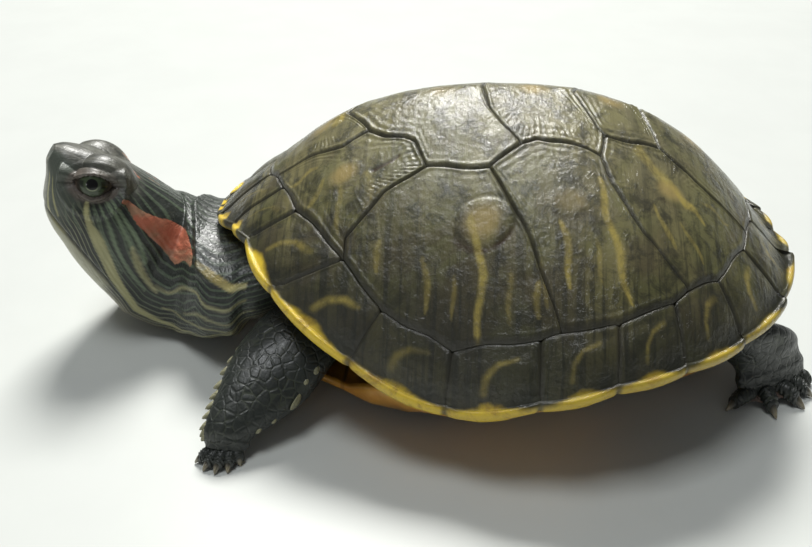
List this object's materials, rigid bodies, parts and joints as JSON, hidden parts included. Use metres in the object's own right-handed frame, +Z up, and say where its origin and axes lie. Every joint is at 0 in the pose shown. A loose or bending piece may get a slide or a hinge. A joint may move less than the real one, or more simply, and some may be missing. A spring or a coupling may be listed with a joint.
{
  "type": "red-eared slider turtle",
  "caption": "Young red-eared slider turtle standing on its four feet with its head raised and turned to its left, as a still life-size model.",
  "frame": {"origin": "bottom centre of the animal's box, on the floor between its feet", "axes": "+Z up; -Y the way the animal faces, so its length from nose to tail runs along Y; +X its left side"},
  "size_m": [0.0708, 0.1174, 0.041],
  "materials": {
    "shell": "wet horny plates, olive brown with yellow streaks, dark seams and a yellow rim",
    "plastron": "smooth horn, amber yellow with dark blotches",
    "skin": "damp scaly skin, dark green with pale yellow stripes and a red patch behind the eye",
    "eye": "wet eye, olive iris with a dark bar and a black pupil",
    "claw": "dark horn, paler at the tips"
  },
  "bodies": {
    "root": {"nuchal": "shell", "vertebral_1": "shell", "vertebral_2": "shell", "vertebral_3": "shell", "vertebral_4": "shell", "vertebral_5": "shell", "costal_1_left": "shell", "costal_1_right": "shell", "costal_2_left": "shell", "costal_2_right": "shell", "costal_3_left": "shell", "costal_3_right": "shell", "costal_4_left": "shell", "costal_4_right": "shell", "marginal_1_left": "shell", "marginal_1_right": "shell", "marginal_2_left": "shell", "marginal_2_right": "shell", "marginal_3_left": "shell", "marginal_3_right": "shell", "marginal_4_left": "shell", "marginal_4_right": "shell", "marginal_5_left": "shell", "marginal_5_right": "shell", "marginal_6_left": "shell", "marginal_6_right": "shell", "marginal_7_left": "shell", "marginal_7_right": "shell", "marginal_8_left": "shell", "marginal_8_right": "shell", "marginal_9_left": "shell", "marginal_9_right": "shell", "marginal_10_left": "shell", "marginal_10_right": "shell", "marginal_11_left": "shell", "marginal_11_right": "shell", "marginal_12_left": "shell", "marginal_12_right": "shell", "plastron": "plastron", "trunk": "skin", "neck": "skin", "head": "skin", "lower_jaw": "skin", "tail": "skin", "foreleg_left": "skin", "foreleg_right": "skin", "forefoot_left": "skin", "forefoot_right": "skin", "hindleg_left": "skin", "hindleg_right": "skin", "hindfoot_left": "skin", "hindfoot_right": "skin", "eye_left": "eye", "eye_right": "eye"}
  },
  "joints": []
}
